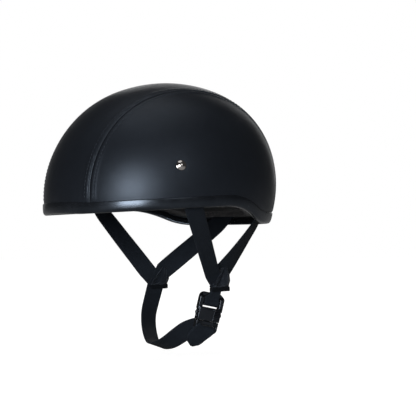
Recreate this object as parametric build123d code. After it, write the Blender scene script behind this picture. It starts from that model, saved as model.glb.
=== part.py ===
from build123d import *
import math
import os

# A half shell motorcycle helmet with a leather skin, webbing straps and a side release buckle.
# Millimetres. +Z is up, the brow faces -Y and the wearer's left is +X. The origin lies in the
# middle of the head opening, level with the front of the rim.
os.makedirs("parts", exist_ok=True)

# The dome, over the leather
shell_length = 266.6
shell_width = 227.6
crown_height = 145.7
side_inset = 16.3  # from the middle line to the centre of the side's arc
crown_flatness = 44.8  # how much larger the crown's radius is than the side's
lean_share = 0.081  # how far each level of the dome drifts back, for each millimetre of height
skirt_turn = 55.0  # degrees that the dome's blank runs on below its widest level
cut_overrun = 60.0  # how far cutting blocks reach past what they cut

# The rim line, seen from the side, from the brow to the nape
brow_rise = 2.8
brow_dip = 3.2
brow_dip_reach = 118.0
ear_rise = 6.8
ear_reach = 41.0
nape_corner_reach = 77.0
nape_drop = 11.0
brow_bend = 30.0
ear_bend_share = 0.6  # the part of the run behind the ear that each bend takes up
nape_bend_share = 0.32

# Layers, from the outside in
leather_thickness = 1.2
shell_thickness = 3.0
foam_thickness = 22.0
lining_thickness = 1.0
pad_thickness = 5.0
layer_gap = 0.2
pad_gap = 0.3
seat_gap = 0.15  # between the leather and what sits on it

# Leather seams
seam_offset = 54.0
welt_width = 1.6
welt_height = 0.8
panel_gap = 0.1

# Rubber beading round the rim
bead_height = 11.7
bead_inner_height = 8.0
bead_wall = 1.3
bead_base = 1.6

# Rivets and washers
rivet_head_radius = 5.3
rivet_head_height = 2.4
rivet_shank_radius = 2.0
rivet_fit = 0.1
rivet_tail_radius = 3.4
rivet_tail_height = 1.2
washer_radius = 7.5
washer_thickness = 1.0
front_rivet_reach = 36.0
front_rivet_height = 47.0
rear_rivet_offset = 35.0
rear_rivet_height = 27.0

# Webbing
strap_width = 21.0
strap_thickness = 1.6
strap_gap = 0.3
strap_tab = 13.0  # webbing that runs on past each rivet
slot_gap = 0.9  # room beside a strap where it passes through foam and cloth
channel_depth = 8.0  # the strap's channel, half of it outside the strap's middle
strap_bow = 1.1  # room between the flat webbing and the curved shell
strap_step = 6.0  # from one cross section of the webbing to the next
strap_bend = 12.0
chin_bend = 14.0
tail_bend = 8.0
tail_length = 15.5  # loose webbing that hangs past the buckle
tail_swing = 12.5  # how far its end hangs towards the chin
tail_swing_share = 0.75  # the part of that swing that lies in its upper half
tail_tuck = 3.5  # how far its end hangs back towards the neck
tail_round_share = 0.45  # the part of the tail that is rounded off

# The buckle
buckle_width = 29.0
buckle_thickness = 8.4
buckle_edge = 1.2
rail_width = 2.4
rail_thickness = 6.4
frame_length = 14.8
bar_radius = 1.8
bar_drop = 9.8
socket_width = 27.0
socket_length = 14.5
socket_wall = 1.8
socket_roof = 2.4
window_start = 3.2  # from the socket's upper end to each side window
window_length = 8.6
plug_gap = 0.3
plug_length = 13.0
plug_thickness = 6.8
plug_corner = 5.0
tongue_width = 6.0
arm_thickness = 3.4
arm_width = 2.6
arm_bulge = 1.8  # how far each arm stands out past the socket's side
arm_pin_radius = 1.9
arm_fit = 0.15
arm_corner = 0.6
slot_height = 2.4
slot_start = 4.6  # from the plug's upper end to its first slot
slot_pitch = 4.4
loop_width = 18.0
fold_width = 21.0

# The sewn fold over the place where the straps meet
wrap_wall = 1.2
wrap_length = 25.5
wrap_top_width = 10.0
wrap_top_shift = 8.0  # how far its narrow end lies behind the middle of the hem
wrap_hem_width = 26.8
wrap_hem_length = 5.5
wrap_depth = 6.2  # how far the webbing below reaches up into the fold
front_meet_shift = 5.7  # how far the front strap lies ahead of the middle of the hem
rear_meet_shift = 2.5
gather_low = 4.4  # the front strap's edge is gathered in along a slant, from here at the hem
gather_high = 23.1
gather_rise = 22.0
rear_trim = 7.0

# Comfort pads: width, height and how high the middle sits over the rim's level
brow_pad_size = (118.0, 26.0)
brow_pad_height = 30.0
nape_pad_size = (96.0, 28.0)
nape_pad_height = 22.0
side_pad_size = (92.0, 40.0)
side_pad_height = 42.0
side_pad_back = 8.0
crown_pad_size = (84.0, 110.0)
pad_corner = 10.0

# Which way a mirrored pair lies
rearward = 1
forward = -1

# Where the straps run on the wearer's left, outside the helmet
front_exit_reach = 18.0
front_exit_height = 3.0
rear_exit_offset = 39.5
rear_exit_rise = 3.4  # above the rim at the nape
rear_exit_slack = 2.9  # further in than the front strap passes the rim
rear_strap_curve = 2.4  # how far the rear strap bows outwards
rear_strap_sag = 5.0
rear_run_shares = [0.25, 0.48, 0.71]
rear_curve_shares = [0.1, 0.6, 1.0]
rear_sag_shares = [0.2, 0.6, 1.0]
rear_strap_facings = [
    Vector(0.57, 0.8, -0.2),
    Vector(0.75, 0.62, -0.3),
    Vector(0.85, 0.48, -0.25),
    Vector(0.95, 0.25, -0.2),
]

# Where the straps meet, the hem of the fold there and the top of the buckle
meet_side = 67.0
meet_back = 33.8
meet_drop = 77.0
hem_outset = 1.0
hem_back = 0.6
hem_fall = 9.0
buckle_outset = 0.3
buckle_forward = 7.6
buckle_fall = 2.6
wrap_up = Vector(-0.07, -0.04, 1.0)
wrap_facing = Vector(1.0, 0.1, -0.1)
buckle_up = Vector(0.13, 0.18, 0.975)
buckle_facing = Vector(1.0, -0.08, 0.0)

# The chin strap's places, in shares of the hem's place and of its own drop
chin_drop = 148.1
chin_shares = [
    (0.676, 0.363, -0.844),
    (0.485, 0.189, -0.902),
    (0.25, 0.015, -0.972),
    (0.0, -0.116, -1.0),
    (-0.25, 0.015, -0.972),
    (-0.485, 0.189, -0.912),
    (-0.676, 0.35, -0.849),
    (-0.838, 0.532, -0.762),
    (-0.949, 0.77, -0.672),
]
chin_start_facing = Vector(0.8, -0.45, -0.4)
chin_facings = [
    Vector(0.55, -0.7, -0.4),
    Vector(0.56, -0.65, -0.49),
    Vector(0.44, -0.45, -0.76),
    Vector(0.0, -0.3, -0.95),
    Vector(-0.3, -0.35, -0.88),
    Vector(-0.6, -0.25, -0.75),
    Vector(-0.8, -0.2, -0.5),
    Vector(-0.93, -0.15, -0.3),
    Vector(-0.98, -0.05, -0.15),
]

half_length = shell_length / 2
half_width = shell_width / 2
side_radius = half_length - side_inset
crown_radius = side_radius + crown_flatness
crown_centre = crown_height - crown_radius
belt_height = crown_centre + math.sqrt(crown_flatness**2 - side_inset**2)

# Depths below the leather's outer face
shell_outer = leather_thickness + layer_gap
shell_inner = shell_outer + shell_thickness
foam_outer = shell_inner + layer_gap
foam_inner = foam_outer + foam_thickness
lining_outer = foam_inner + layer_gap
lining_inner = lining_outer + lining_thickness
pad_outer = lining_inner + pad_gap
pad_inner = pad_outer + pad_thickness
bead_inner = shell_inner + seat_gap + bead_wall
strap_depth = shell_inner + strap_bow + strap_thickness / 2
exit_depth = bead_inner + strap_bow + strap_thickness / 2
lip_bottom = bead_inner_height + layer_gap
foam_bottom = lip_bottom + lining_thickness + layer_gap


def narrowing(depth):
    return (half_width - depth) / (half_length - depth)


# The solid under the surface that lies depth below the leather's outer face
def dome(depth):
    arc_radius = side_radius - depth
    meet = math.degrees(math.atan2(belt_height - crown_centre, side_inset))
    side_arc = CenterArc((side_inset, belt_height), arc_radius, -skirt_turn, meet + skirt_turn)
    crown_arc = CenterArc((0, crown_centre), crown_radius - depth, meet, 90 - meet)
    middle = (0, (side_arc @ 0).Y)
    outline = [side_arc, crown_arc, Line(crown_arc @ 1, middle), Line(middle, side_arc @ 0)]
    blank = revolve(Plane.XZ * make_face(outline), Axis.Z, 360)
    squeeze = [[narrowing(depth), 0, 0, 0], [0, 1, lean_share, 0], [0, 0, 1, 0]]
    return blank.transform_geometry(Matrix(squeeze))


# How far the dome reaches from its middle line at one height, before it is narrowed
def reach(height, depth):
    return side_inset + math.sqrt((side_radius - depth) ** 2 - (height - belt_height) ** 2)


def side_point(y, z, depth):
    ahead = y - lean_share * z
    return Vector(narrowing(depth) * math.sqrt(reach(z, depth) ** 2 - ahead**2), y, z)


def back_point(x, z, depth):
    across = x / narrowing(depth)
    return Vector(x, lean_share * z + math.sqrt(reach(z, depth) ** 2 - across**2), z)


# The outward direction of the dome at a point
def dome_normal(point, depth):
    ahead = point.Y - lean_share * point.Z
    fall = (point.Z - belt_height) / math.sqrt((side_radius - depth) ** 2 - (point.Z - belt_height) ** 2)
    across = point.X / narrowing(depth) ** 2
    return Vector(across, ahead, reach(point.Z, depth) * fall - lean_share * ahead).normalized()


# The bends of the rim line, sized so that both fit in the run that falls behind the ear
fall_height = ear_rise + nape_drop
fall_reach = nape_corner_reach - ear_reach
fall_length = math.hypot(fall_reach, fall_height)
fall_angle = math.atan2(fall_height, fall_reach)
climb_angle = math.atan2(ear_rise + brow_dip, ear_reach + brow_dip_reach)
ear_bend = ear_bend_share * fall_length / math.tan((climb_angle + fall_angle) / 2)
nape_bend = nape_bend_share * fall_length / math.tan(fall_angle / 2)

# Everything above the rim line
far_reach = half_length + cut_overrun
rim_line = FilletPolyline(
    (-far_reach, brow_rise),
    (-brow_dip_reach, -brow_dip),
    (ear_reach, ear_rise),
    (nape_corner_reach, -nape_drop),
    (far_reach, -nape_drop),
    radius=[brow_bend, ear_bend, nape_bend],
)
far_height = crown_height + 2 * cut_overrun
rim_lid = Polyline(rim_line @ 1, (far_reach, far_height), (-far_reach, far_height), rim_line @ 0)
rim_block = extrude(Plane.YZ * make_face([rim_line, rim_lid]), half_width + cut_overrun, both=True)


def above_rim(height):
    return Pos(0, 0, height) * rim_block


def rim_band(lower, upper):
    return above_rim(lower) - above_rim(upper)


# A slab that spans the helmet lengthwise between two distances from its middle plane
def slab(inner, outer):
    block = Box(outer - inner, 2 * far_reach, 2 * far_height)
    return Pos((inner + outer) / 2, 0, 0) * block


def mirrored(shape):
    return mirror(shape, Plane.YZ)


def flipped(point):
    return Vector(-point.X, point.Y, point.Z)


# A frame whose y axis points up along a piece and whose z axis is its face's outward direction
def upright_frame(origin, up, facing):
    rise = up.normalized()
    outwards = facing - rise * facing.dot(rise)
    return Plane(origin=origin, x_dir=rise.cross(outwards), z_dir=outwards)


# A block in a frame, from its lowest to its highest corner
def block(frame, low, high):
    size = [high[i] - low[i] for i in range(3)]
    middle = [(high[i] + low[i]) / 2 for i in range(3)]
    return frame * (Pos(*middle) * Box(*size))


# Flat webbing along a route, with the direction that its face looks in given at each point
def ribbon(points, facings, bend, width, thickness, taper=None):
    line = FilletPolyline(*points, radius=bend)
    runs = [(points[i + 1] - points[i]).length for i in range(len(points) - 1)]
    places = [sum(runs[:i]) / sum(runs) for i in range(len(points))]
    steps = math.ceil(line.length / strap_step)
    sections = []
    for step in range(steps + 1):
        share = step / steps
        first = max(i for i in range(len(runs)) if places[i] <= share)
        blend = min(1, (share - places[first]) / (places[first + 1] - places[first]))
        facing = facings[first] * (1 - blend) + facings[first + 1] * blend
        run = line % share
        local_width = width * taper(share) if taper else width
        plane = Plane(origin=line @ share, x_dir=run.cross(facing), z_dir=run)
        sections.append(plane * Rectangle(local_width, thickness))
    return loft(sections, ruled=True)


# A ring of material between two depths, above a height over the rim line
def layer(outer, inner, bottom):
    return (dome(outer) - dome(inner)) & above_rim(bottom)


# Rivets: a frame at the leather's face, looking outwards
front_rivet_point = side_point(-front_rivet_reach, front_rivet_height, 0)
front_rivet = Plane(origin=front_rivet_point, z_dir=dome_normal(front_rivet_point, 0))
rear_rivet_point = back_point(rear_rivet_offset, rear_rivet_height, 0)
rear_rivet = Plane(origin=rear_rivet_point, z_dir=dome_normal(rear_rivet_point, 0))
washer_face = strap_depth + strap_thickness / 2 + strap_bow
tail_face = washer_face + washer_thickness + rivet_fit


def make_rivet(frame):
    rise = rivet_head_height
    ball = (rivet_head_radius**2 + rise**2) / (2 * rise)
    cap = Pos(0, 0, rise - ball) * Sphere(ball) & Pos(0, 0, rise / 2) * Box(2 * ball, 2 * ball, rise)
    length = tail_face + rivet_tail_height + seat_gap + rise / 2
    shank = Pos(0, 0, seat_gap + rise / 2 - length / 2) * Cylinder(rivet_shank_radius, length)
    foot = Pos(0, 0, -tail_face - rivet_tail_height / 2) * Cylinder(rivet_tail_radius, rivet_tail_height)
    return frame * (Pos(0, 0, seat_gap) * cap + shank + foot)


def rivet_hole(frame):
    return frame * Cylinder(rivet_shank_radius + rivet_fit, 3 * tail_face)


def make_washer(frame):
    ring = Cylinder(washer_radius, washer_thickness)
    ring = ring - Cylinder(rivet_shank_radius + rivet_fit, washer_thickness)
    return frame * (Pos(0, 0, -washer_face - washer_thickness / 2) * ring)


# The room that the washer and the rivet's foot need in the foam
def rivet_pocket(frame):
    bottom = tail_face + rivet_tail_height + slot_gap
    return frame * (Pos(0, 0, -bottom / 2) * Cylinder(washer_radius + slot_gap, bottom))


# The fold where the straps meet, and the buckle that hangs from it
meet_point = Vector(meet_side, meet_back, -meet_drop)
hem_point = meet_point + Vector(hem_outset, hem_back, -hem_fall)
buckle_top = hem_point + Vector(buckle_outset, -buckle_forward, -buckle_fall)
wrap = upright_frame(hem_point, wrap_up, wrap_facing)
buckle = upright_frame(buckle_top, buckle_up, buckle_facing)
strap_layer = (strap_thickness + strap_gap) / 2 + strap_gap / 2


# Strap routes: down the shell's inner face from above the rivet, out at the rim, and to the fold
slope = Vector(front_rivet_reach - front_exit_reach, front_exit_height - front_rivet_height).normalized()
front_top = side_point(
    -front_rivet_reach - slope.X * strap_tab, front_rivet_height - slope.Y * strap_tab, strap_depth
)
front_seat = side_point(-front_rivet_reach, front_rivet_height, strap_depth)
front_middle = side_point(
    -(front_rivet_reach + front_exit_reach) / 2,
    (front_rivet_height + front_exit_height) / 2,
    (strap_depth + exit_depth) / 2,
)
front_exit = side_point(-front_exit_reach, front_exit_height, exit_depth)
front_meet = meet_point + wrap.z_dir * strap_layer + wrap.y_dir * wrap_depth
front_meet = front_meet - wrap.x_dir * front_meet_shift
front_fall = front_meet - front_exit
front_fall = (front_fall - wrap.z_dir * front_fall.dot(wrap.z_dir)).normalized()
front_route = [front_top, front_seat, front_middle, front_exit, front_meet]
front_route = front_route + [front_meet + front_fall * wrap_length]
front_facings = [dome_normal(point, strap_depth) for point in front_route[:4]] + 2 * [wrap.z_dir]
rear_seat = back_point(rear_rivet_offset, rear_rivet_height, strap_depth)
rear_top = back_point(rear_rivet_offset - strap_tab / 8, rear_rivet_height + strap_tab, strap_depth)
rear_low = back_point(rear_rivet_offset + strap_tab / 8, rear_rivet_height - strap_tab, strap_depth)
rear_exit = back_point(rear_exit_offset, rear_exit_rise - nape_drop, exit_depth + rear_exit_slack)
rear_meet = meet_point - wrap.z_dir * strap_layer + wrap.y_dir * wrap_depth
rear_meet = rear_meet + wrap.x_dir * rear_meet_shift
rear_strap_points = [rear_exit]
for run_share, curve_share, sag_share in zip(rear_run_shares, rear_curve_shares, rear_sag_shares):
    place = rear_exit * (1 - run_share) + rear_meet * run_share
    place = place + Vector(rear_strap_curve * curve_share, 0, -rear_strap_sag * sag_share)
    rear_strap_points = rear_strap_points + [place]
rear_fall = rear_meet - rear_strap_points[-1]
rear_fall = (rear_fall - wrap.z_dir * rear_fall.dot(wrap.z_dir)).normalized()
rear_route = [rear_top, rear_seat, rear_low] + rear_strap_points + [rear_meet]
rear_route = rear_route + [rear_meet + rear_fall * wrap_length]
rear_facings = 3 * [rear_rivet.z_dir] + rear_strap_facings + 2 * [wrap.z_dir]


# Everything in the fold's frame below or above a height over its hem
def below_hem(height):
    far = 2 * wrap_length
    return block(wrap, (-far, -far, -far), (far, height, far))


def above_hem(height):
    far = 2 * wrap_length
    return block(wrap, (-far, height, -far), (far, far, far))


def make_front_strap(width, thickness, floor):
    return ribbon(front_route, front_facings, strap_bend, width, thickness) - below_hem(floor)


def make_rear_strap(width, thickness, floor):
    return ribbon(rear_route, rear_facings, strap_bend, width, thickness) - below_hem(floor)


# Webbing that goes through the socket's frame and round its bar
def make_loop(width, thickness):
    hole_radius = bar_radius + strap_gap
    outer_radius = hole_radius + thickness
    far = 2 * wrap_depth
    flap = block(buckle, (-width / 2, -bar_drop, -thickness), (width / 2, far, thickness))
    bar_frame = buckle * Pos(0, -bar_drop, 0) * Rot(0, 90, 0)
    ring = bar_frame * Cylinder(outer_radius, width) + flap
    return ring - bar_frame * Cylinder(hole_radius, width) - above_hem(wrap_depth)


def both_sides(shape):
    return shape + mirrored(shape)


def save(name, shape):
    export_step(shape, f"parts/{name}.step")
    print(name, len(shape.solids()), round(shape.volume, 1))


# Shell, leather and beading
edge_bottom = bead_base + seat_gap
holes = both_sides(rivet_hole(front_rivet) + rivet_hole(rear_rivet))
leather = layer(0, leather_thickness, edge_bottom) - holes
panel_edge = welt_width / 2 + panel_gap
side_leather = leather & slab(seam_offset + panel_edge, far_reach)
welt = layer(0, leather_thickness, edge_bottom) + layer(-welt_height, 0, bead_height + seat_gap)
welt = welt & slab(seam_offset - welt_width / 2, seam_offset + welt_width / 2)
outer_leg = (dome(-seat_gap - bead_wall) - dome(-seat_gap)) & rim_band(0, bead_height)
inner_leg = (dome(shell_inner + seat_gap) - dome(bead_inner)) & rim_band(0, bead_inner_height)
bead_foot = (dome(-seat_gap - bead_wall) - dome(bead_inner)) & rim_band(0, bead_base)

save("outer_shell", layer(shell_outer, shell_inner, edge_bottom) - holes)
save("centre_leather", leather & slab(panel_edge - seam_offset, seam_offset - panel_edge))
save("side_leather_left", side_leather)
save("side_leather_right", mirrored(side_leather))
save("seam_welt_left", welt)
save("seam_welt_right", mirrored(welt))
save("rim_beading", outer_leg + inner_leg + bead_foot)

# Foam liner and cloth lining, with room for the straps
room = strap_width + 2 * slot_gap
channels = make_front_strap(room, channel_depth, 0) + make_rear_strap(room, channel_depth, 0)
channels = both_sides(channels)
pockets = both_sides(rivet_pocket(front_rivet) + rivet_pocket(rear_rivet))
lining_cup = layer(lining_outer, lining_inner, lip_bottom)
lining_lip = (dome(foam_outer) - dome(lining_inner)) & rim_band(lip_bottom, lip_bottom + lining_thickness)
save("foam_liner", layer(foam_outer, foam_inner, foam_bottom) - channels - pockets)
save("cloth_lining", lining_cup + lining_lip - channels)

# Comfort pads
pad_layer = dome(pad_outer) - dome(pad_inner)


def make_pad(plane, size, amount):
    outline = RectangleRounded(size[0], size[1], pad_corner)
    return pad_layer & extrude(plane * outline, amount)


front_plane = Plane(origin=(0, 0, brow_pad_height), x_dir=(1, 0, 0), z_dir=(0, -1, 0))
back_plane = Plane(origin=(0, 0, nape_pad_height), x_dir=(-1, 0, 0), z_dir=(0, 1, 0))
side_plane = Plane(origin=(0, side_pad_back, side_pad_height), x_dir=(0, 1, 0), z_dir=(1, 0, 0))
top_plane = Plane(origin=(0, lean_share * crown_height, 0), x_dir=(1, 0, 0), z_dir=(0, 0, 1))
side_pad = make_pad(side_plane, side_pad_size, far_reach)
save("brow_pad", make_pad(front_plane, brow_pad_size, far_reach))
save("nape_pad", make_pad(back_plane, nape_pad_size, far_reach))
save("side_pad_left", side_pad)
save("side_pad_right", mirrored(side_pad))
save("crown_pad", make_pad(top_plane, crown_pad_size, far_height))

# Rivets and their washers, one pair at the sides and one at the nape
save("front_rivets", both_sides(make_rivet(front_rivet)))
save("rear_rivets", both_sides(make_rivet(rear_rivet)))
save("front_washers", both_sides(make_washer(front_rivet)))
save("rear_washers", both_sides(make_washer(rear_rivet)))

# Straps, each with its front edge gathered in where it enters the fold
far = 4 * wrap_length
gather_outline = Polyline(
    (-gather_low, 0), (-gather_high, gather_rise), (-far, gather_rise), (-far, 0), close=True
)
gather = extrude(wrap * make_face(gather_outline), far, both=True)
rear_gather = block(wrap, (-far, 0, -far), (-rear_trim, wrap_length, far))
front_strap = make_front_strap(strap_width, strap_thickness, wrap_depth + strap_gap)
front_strap = front_strap - rivet_hole(front_rivet) - gather
rear_strap = make_rear_strap(strap_width, strap_thickness, wrap_depth + strap_gap)
rear_strap = rear_strap - rivet_hole(rear_rivet) - rear_gather
save("front_strap_left", front_strap)
save("front_strap_right", mirrored(front_strap))
save("rear_strap_left", rear_strap)
save("rear_strap_right", mirrored(rear_strap))
save("buckle_loop", make_loop(loop_width, strap_thickness))

# The chin strap, from behind the plug, under the chin, to the fold on the right
arm_depth = arm_thickness / 2
socket_bottom = -frame_length - socket_length
plug_top = socket_bottom - plug_gap
plug_bottom = plug_top - plug_length
first_slot = plug_top - slot_start - slot_height / 2
chin_depth = plug_thickness / 2 + 3 * strap_thickness
chin_start = buckle.from_local_coords(Vector(0, first_slot, -chin_depth))
chin_end = flipped(wrap.from_local_coords(Vector(0, wrap_length / 2, 0)))
chin_points = [Vector(x * hem_point.X, y * hem_point.Y, z * chin_drop) for x, y, z in chin_shares]
chin_route = [chin_start] + chin_points + [chin_end]
chin_turns = [chin_start_facing] + chin_facings + [flipped(wrap.z_dir)]


def make_chin_strap(width, thickness):
    strap = ribbon(chin_route, chin_turns, chin_bend, width, thickness)
    return strap - mirrored(above_hem(wrap_depth))


save("chin_strap", make_chin_strap(strap_width, strap_thickness))

# The folds
wrap_half = strap_layer + strap_thickness / 2 + strap_gap + wrap_wall
hem_outline = Rectangle(wrap_hem_width, 2 * wrap_half)
top_outline = Pos(wrap_top_shift, 0) * Rectangle(wrap_top_width, 2 * wrap_half)
lying = wrap * Rot(-90, 0, 0)
hem = loft([lying * hem_outline, lying * Pos(0, 0, wrap_hem_length) * hem_outline], ruled=True)
cone = loft(
    [lying * Pos(0, 0, wrap_hem_length) * hem_outline, lying * Pos(0, 0, wrap_length) * top_outline],
    ruled=True,
)
room = strap_width + 2 * strap_gap
depth = strap_thickness + 2 * strap_gap
wrap_body = hem + cone
wrap_body = wrap_body - make_front_strap(room, depth, wrap_depth) - make_rear_strap(room, depth, wrap_depth)
save("strap_fold_left", wrap_body - make_loop(loop_width + 2 * strap_gap, strap_thickness + strap_gap))
save("strap_fold_right", mirrored(wrap_body) - make_chin_strap(room, depth))

# The buckle's socket
half_buckle = buckle_width / 2
half_socket = socket_width / 2
half_thick = buckle_thickness / 2
half_rail = rail_thickness / 2
body = block(buckle, (-half_socket, socket_bottom, -half_thick), (half_socket, -frame_length, half_thick))
body = fillet(body.edges(), buckle_edge)
window_top = -frame_length - window_start
for side in (rearward, forward):
    edges = sorted((side * half_buckle, side * (half_buckle - rail_width)))
    body = body + block(buckle, (edges[0], window_top, -half_rail), (edges[1], 0, half_rail))
body = body + block(
    buckle, (-half_buckle, -rail_width, -half_rail), (half_buckle, 0, -strap_thickness - strap_gap)
)
bar = buckle * Pos(0, -bar_drop, 0) * Rot(0, 90, 0) * Cylinder(bar_radius, buckle_width - rail_width)
inside = arm_depth + plug_gap
cavity_half = half_socket - socket_wall
cavity_top = -frame_length - socket_roof
cavity = block(
    buckle, (-cavity_half, socket_bottom - plug_gap, -inside), (cavity_half, cavity_top, inside)
)
windows = block(
    buckle, (-buckle_width, window_top - window_length, -inside), (buckle_width, window_top, inside)
)
save("buckle_socket", body + bar - cavity - windows)

# The plug, with its tongue and its ladder of slots
half_plug = plug_thickness / 2
plug = block(buckle, (-half_socket, plug_bottom, -half_plug), (half_socket, plug_top, half_plug))
plug_corners = plug.edges().filter_by(Axis(buckle.origin, buckle.z_dir))
plug_corners = [edge for edge in plug_corners if buckle.to_local_coords(edge @ 0).Y < plug_top - plug_gap]
plug = fillet(plug_corners, plug_corner)
tongue_half = tongue_width / 2
plug = plug + block(
    buckle,
    (-tongue_half, plug_top - plug_gap, -arm_depth),
    (tongue_half, cavity_top - plug_gap, arm_depth),
)
slot_half = fold_width / 2 + strap_gap
for turn in range(2):
    middle = first_slot - turn * slot_pitch
    plug = plug - block(
        buckle,
        (-slot_half, middle - slot_height / 2, -plug_thickness),
        (slot_half, middle + slot_height / 2, plug_thickness),
    )
pin_offset = cavity_half - plug_gap - arm_width / 2
pin_drop = plug_top - arm_pin_radius - arm_fit
arm_inner = pin_offset - arm_width / 2
arm_outer = pin_offset + arm_width / 2
window_bottom = window_top - window_length
arm_tip = window_top - plug_gap
arm_reach = half_socket + arm_bulge


def make_arm(side):
    outline = Polyline(
        (side * arm_inner, pin_drop),
        (side * arm_inner, window_bottom),
        (side * cavity_half, window_bottom + arm_width),
        (side * cavity_half, arm_tip - plug_gap),
        (side * half_socket, arm_tip),
        (side * arm_reach, window_top - window_length / 2),
        (side * (arm_reach - arm_corner), window_bottom + arm_width),
        (side * arm_outer, window_bottom + plug_gap),
        (side * arm_outer, pin_drop),
        close=True,
    )
    face = make_face(outline) + Pos(side * pin_offset, pin_drop) * Circle(arm_pin_radius)
    return buckle * extrude(face, arm_depth, both=True)


for side in (rearward, forward):
    pocket = Pos(side * pin_offset, pin_drop) * Circle(arm_pin_radius + arm_fit)
    neck_edges = sorted((side * (arm_inner - 2 * arm_corner), side * (arm_outer + arm_fit)))
    neck_width = neck_edges[1] - neck_edges[0]
    neck = Pos(sum(neck_edges) / 2, plug_top) * Rectangle(neck_width, 2 * (plug_top - pin_drop))
    plug = plug - buckle * extrude(pocket + neck, inside, both=True)
save("buckle_plug", plug)
save("rear_arm", make_arm(rearward))
save("front_arm", make_arm(forward))

# The webbing that passes through the plug and hangs loose
fold_front = plug_thickness / 2 + strap_gap + strap_thickness / 2
fold_back = plug_thickness / 2 + strap_thickness
fold_end = plug_bottom - strap_thickness
fold_plane = Plane(origin=buckle.origin, x_dir=buckle.y_dir, z_dir=buckle.x_dir)
fold_route = fold_plane * FilletPolyline(
    (first_slot, -fold_back), (first_slot, fold_front), (fold_end, fold_front), radius=strap_thickness
)
section = Plane(origin=fold_route @ 0, x_dir=buckle.x_dir, z_dir=fold_route % 0) * Rectangle(
    fold_width, strap_thickness
)
fold = sweep(section, fold_route)
tail_points = [
    buckle.from_local_coords(Vector(0, fold_end + strap_thickness / 2, fold_front)),
    buckle.from_local_coords(
        Vector(-tail_swing * tail_swing_share, fold_end - tail_length / 2, fold_front)
    ),
    buckle.from_local_coords(Vector(-tail_swing, fold_end - tail_length, fold_front - tail_tuck)),
]


def rounding(share):
    over = max(0, share - 1 + tail_round_share) / tail_round_share
    return math.sqrt(1 - over**2 * (1 - tail_round_share**2))


tail = ribbon(tail_points, 3 * [buckle.z_dir], tail_bend, fold_width, strap_thickness, rounding)
save("strap_tail", fold + tail)
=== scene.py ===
import math
import bmesh
import bpy
from mathutils import Matrix, Vector, noise


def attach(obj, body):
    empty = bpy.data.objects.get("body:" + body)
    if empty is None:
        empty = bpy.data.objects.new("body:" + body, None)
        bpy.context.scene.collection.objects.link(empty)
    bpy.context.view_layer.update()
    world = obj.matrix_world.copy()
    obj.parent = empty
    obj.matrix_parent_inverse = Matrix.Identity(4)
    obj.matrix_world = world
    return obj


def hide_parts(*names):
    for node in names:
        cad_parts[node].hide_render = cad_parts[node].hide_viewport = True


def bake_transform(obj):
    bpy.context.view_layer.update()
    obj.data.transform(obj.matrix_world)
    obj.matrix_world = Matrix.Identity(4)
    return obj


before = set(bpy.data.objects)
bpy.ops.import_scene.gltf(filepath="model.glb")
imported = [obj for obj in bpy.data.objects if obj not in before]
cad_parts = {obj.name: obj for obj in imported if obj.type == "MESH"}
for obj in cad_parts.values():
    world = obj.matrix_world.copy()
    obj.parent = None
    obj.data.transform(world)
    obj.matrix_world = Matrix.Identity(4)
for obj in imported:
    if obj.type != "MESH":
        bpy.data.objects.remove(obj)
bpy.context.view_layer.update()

# Pieces are worked out in millimetres and made into metres when they are finished.
metre = 0.001
sides = ((1, "left"), (-1, "right"))


# Helpers for meshes

def finishPiece(bm, name, material, body="root", stands=(), crease=None):
    bmesh.ops.scale(bm, vec=(metre, metre, metre), verts=bm.verts)
    for face in bm.faces:
        face.smooth = True
    mesh = bpy.data.meshes.new(name)
    bm.to_mesh(mesh)
    bm.free()
    if crease:
        mesh.set_sharp_from_angle(angle=math.radians(crease))
    piece = bpy.data.objects.new(name, mesh)
    bpy.context.scene.collection.objects.link(piece)
    mesh.materials.append(material)
    if body:
        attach(piece, body)
    if stands:
        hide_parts(*stands)
    return piece


# A grid whose corner (i, j) goes to place(i, j), with its UV map in millimetres
def shapedGrid(columns, rows, place, uvAt=None):
    bm = bmesh.new()
    uvLayer = bm.loops.layers.uv.new("UVMap")
    bmesh.ops.create_grid(bm, x_segments=columns, y_segments=rows, size=0.5)
    spot = {v: (round((v.co.x + 0.5) * columns), round((v.co.y + 0.5) * rows)) for v in bm.verts}
    for face in bm.faces:
        for loop in face.loops:
            i, j = spot[loop.vert]
            loop[uvLayer].uv = uvAt(i, j) if uvAt else (i / columns, j / rows)
    for v, (i, j) in spot.items():
        v.co = place(i, j)
    return bm


def closeUp(bm, gap=0.001):
    bmesh.ops.remove_doubles(bm, verts=bm.verts, dist=gap)
    rims = [e for e in bm.edges if e.is_boundary]
    if rims:
        bmesh.ops.holes_fill(bm, edges=rims, sides=0)
    bmesh.ops.recalc_face_normals(bm, faces=bm.faces)
    return bm


# How far along a row of points each one lies
def runLengths(points):
    lengths = [0.0]
    for a, b in zip(points, points[1:]):
        lengths.append(lengths[-1] + math.dist(a, b))
    return lengths


# A tube: at each station the outline's (across, out) points go round the route
def tubeAlong(stations, outline):
    count = len(outline)
    around = runLengths(outline + outline[:1])
    along = runLengths([s["point"] for s in stations])

    def place(i, j):
        s, (across, out) = stations[j], outline[i % count]
        across, out = across * s.get("wide", 1), out * s.get("thick", 1)
        return s["point"] + s["across"] * across + s["out"] * out

    bm = shapedGrid(count, len(stations) - 1, place, lambda i, j: (around[i], along[j]))
    return closeUp(bm)


def blendStep(low, high, value):
    share = min(1, max(0, (value - low) / (high - low)))
    return share * share * (3 - 2 * share)


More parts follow.
